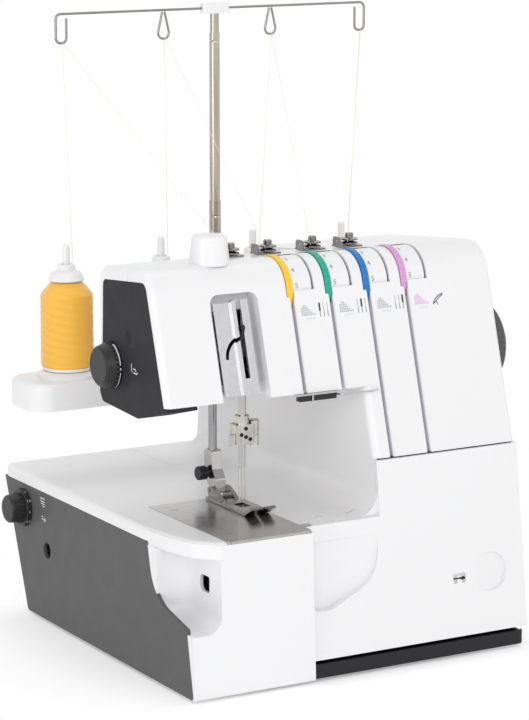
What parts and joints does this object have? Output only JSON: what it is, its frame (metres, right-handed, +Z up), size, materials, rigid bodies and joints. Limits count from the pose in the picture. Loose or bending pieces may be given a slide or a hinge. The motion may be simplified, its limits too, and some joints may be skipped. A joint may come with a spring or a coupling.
{
  "type": "cover stitch serger sewing machine",
  "caption": "Household cover stitch serger with thread stand, tension dials, needle clamp, presser foot, looper bay cover and side handwheel.",
  "frame": {"origin": "on the floor under the middle of the bounding box", "axes": "+X to the operator's right (towards the handwheel), +Y to the back, +Z up"},
  "size_m": [0.382, 0.3569, 0.5425],
  "materials": {
    "white_shell": "smooth glossy white",
    "dark_cover": "fine grained dark grey",
    "head_cover": "fine grained charcoal",
    "black_plastic": "satin black",
    "black_screw": "blackened steel",
    "rubber": "soft matte",
    "belt_rubber": "ribbed matte",
    "plate_steel": "fine brushed",
    "chrome": "polished",
    "guard_metal": "satin",
    "liner_grey": "satin grey",
    "cast_aluminium": "as cast",
    "motor_paint": "satin",
    "lamp_lens": "frosted",
    "thread_gold": "wound thread sheen",
    "dial_yellow": "gloss",
    "dial_green": "gloss",
    "dial_blue": "gloss",
    "dial_violet": "gloss"
  },
  "bodies": {
    "machine": {"front_housing": "white_shell", "rear_housing": "white_shell", "bed_cover": "white_shell", "spool_shelf": "white_shell", "head_top_cap": "white_shell", "spool_pins": "white_shell", "spool_cores": "white_shell", "left_side_cover": "dark_cover", "base_tray": "dark_cover", "head_end_cover": "head_cover", "power_sockets": "black_plastic", "lower_guide_block": "black_plastic", "rubber_feet": "rubber", "belts": "belt_rubber", "needle_plate": "plate_steel", "pole_lower": "plate_steel", "lower_guide_wires": "chrome", "pretension_guides": "chrome", "take_up_guard": "guard_metal", "channel_liners": "liner_grey", "cast_frame": "cast_aluminium", "motor": "motor_paint", "work_lamp": "lamp_lens", "thread_windings": "thread_gold", "strands_spool_to_guide": "thread_gold", "strands_guide_to_arm": "thread_gold", "strands_in_channels": "thread_gold"},
    "drive": {"handwheel": "dark_cover", "main_shaft": "plate_steel"},
    "lower_drive": {"lower_shaft": "plate_steel"},
    "rotor": {"motor_rotor": "plate_steel"},
    "pressure_knob": {"foot_pressure_knob": "black_plastic"},
    "feed_knob": {"differential_feed_knob": "black_plastic"},
    "length_dial": {"stitch_length_dial": "dark_cover"},
    "cover": {"front_cover": "white_shell"},
    "needle_unit": {"needle_bar": "chrome", "needle_clamp": "chrome", "needles": "chrome", "clamp_screws": "black_screw"},
    "take_up": {"take_up_lever": "black_screw"},
    "presser": {"presser_bar": "chrome", "foot_holder": "chrome", "foot_screw": "black_screw"},
    "foot": {"presser_foot": "chrome"},
    "lifter": {"presser_lifter": "chrome"},
    "feed": {"feed_dog": "plate_steel"},
    "looper_arm": {"looper": "plate_steel"},
    "stand_top": {"pole_upper": "plate_steel", "guide_cap": "white_shell", "guide_wire": "chrome"},
    "switch": {"switch_rocker": "black_plastic"},
    "dial_yellow": {"tension_disc_yellow": "dial_yellow", "tension_drum_yellow": "white_shell"},
    "dial_green": {"tension_disc_green": "dial_green", "tension_drum_green": "white_shell"},
    "dial_blue": {"tension_disc_blue": "dial_blue", "tension_drum_blue": "white_shell"},
    "dial_violet": {"tension_disc_violet": "dial_violet", "tension_drum_violet": "white_shell"}
  },
  "joints": [
    {"name": "handwheel_turn", "type": "hinge", "parent": "machine", "child": "drive", "pos_m": [0.161, -0.0745, 0.25], "axis": [1, 0, 0], "continuous": true},
    {"name": "lower_shaft_turn", "type": "hinge", "parent": "machine", "child": "lower_drive", "pos_m": [0.031, -0.0785, 0.06], "axis": [1, 0, 0], "continuous": true},
    {"name": "motor_turn", "type": "hinge", "parent": "machine", "child": "rotor", "pos_m": [0.131, 0.0365, 0.078], "axis": [1, 0, 0], "continuous": true},
    {"name": "needle_bar_travel", "type": "slide", "parent": "machine", "child": "needle_unit", "axis": [0, 0, 1], "range_m": [-0.012, 0.016]},
    {"name": "take_up_swing", "type": "hinge", "parent": "machine", "child": "take_up", "pos_m": [-0.089, -0.0825, 0.27], "axis": [-1, 0, 0], "range_deg": [-12, 16]},
    {"name": "presser_lift", "type": "slide", "parent": "machine", "child": "presser", "axis": [0, 0, 1], "range_m": [0, 0.007]},
    {"name": "foot_tilt", "type": "hinge", "parent": "presser", "child": "foot", "pos_m": [-0.069, -0.0385, 0.1385], "axis": [-1, 0, 0], "range_deg": [0, 6]},
    {"name": "lifter_turn", "type": "hinge", "parent": "machine", "child": "lifter", "pos_m": [-0.051, -0.0065, 0.256], "axis": [0, -1, 0], "range_deg": [0, 45]},
    {"name": "feed_dog_travel", "type": "slide", "parent": "machine", "child": "feed", "axis": [0, 1, 0], "range_m": [-0.003, 0.003]},
    {"name": "looper_swing", "type": "hinge", "parent": "machine", "child": "looper_arm", "pos_m": [-0.079, -0.0765, 0.05], "axis": [0, 1, 0], "range_deg": [-8, 6]},
    {"name": "front_cover_open", "type": "hinge", "parent": "machine", "child": "cover", "pos_m": [0.051, -0.1675, 0.021], "axis": [1, 0, 0], "range_deg": [0, 85]},
    {"name": "foot_pressure_turn", "type": "hinge", "parent": "machine", "child": "pressure_knob", "pos_m": [-0.175, -0.0355, 0.256], "axis": [-1, 0, 0], "range_deg": [-150, 150]},
    {"name": "differential_turn", "type": "hinge", "parent": "machine", "child": "feed_knob", "pos_m": [-0.177, 0.1395, 0.097], "axis": [-1, 0, 0], "range_deg": [-90, 60]},
    {"name": "stitch_length_turn", "type": "hinge", "parent": "machine", "child": "length_dial", "pos_m": [0.167, -0.0085, 0.1], "axis": [1, 0, 0], "range_deg": [-140, 140]},
    {"name": "stand_raise", "type": "slide", "parent": "machine", "child": "stand_top", "axis": [0, 0, 1], "range_m": [-0.135, 0], "deforming": ["strands_spool_to_guide", "strands_guide_to_arm"]},
    {"name": "power_switch", "type": "hinge", "parent": "machine", "child": "switch", "pos_m": [0.156, 0.1195, 0.06], "axis": [0, 1, 0], "range_deg": [0, 12]},
    {"name": "tension_turn_yellow", "type": "hinge", "parent": "machine", "child": "dial_yellow", "pos_m": [-0.0365, -0.08109, 0.31582], "axis": [1, 0, 0], "range_deg": [-160, 160]},
    {"name": "tension_turn_green", "type": "hinge", "parent": "machine", "child": "dial_green", "pos_m": [0.0008, -0.08109, 0.31582], "axis": [1, 0, 0], "range_deg": [-160, 160]},
    {"name": "tension_turn_blue", "type": "hinge", "parent": "machine", "child": "dial_blue", "pos_m": [0.0381, -0.08109, 0.31582], "axis": [1, 0, 0], "range_deg": [-160, 160]},
    {"name": "tension_turn_violet", "type": "hinge", "parent": "machine", "child": "dial_violet", "pos_m": [0.0754, -0.08109, 0.31582], "axis": [1, 0, 0], "range_deg": [-160, 160]}
  ],
  "couplings": [
    {"joint": "lower_shaft_turn", "follows": "handwheel_turn", "ratio": 1},
    {"joint": "motor_turn", "follows": "handwheel_turn", "ratio": 4},
    {"joint": "take_up_swing", "follows": "needle_bar_travel", "rad_per_m": 17.453},
    {"joint": "presser_lift", "follows": "lifter_turn", "m_per_rad": 0.0089}
  ]
}
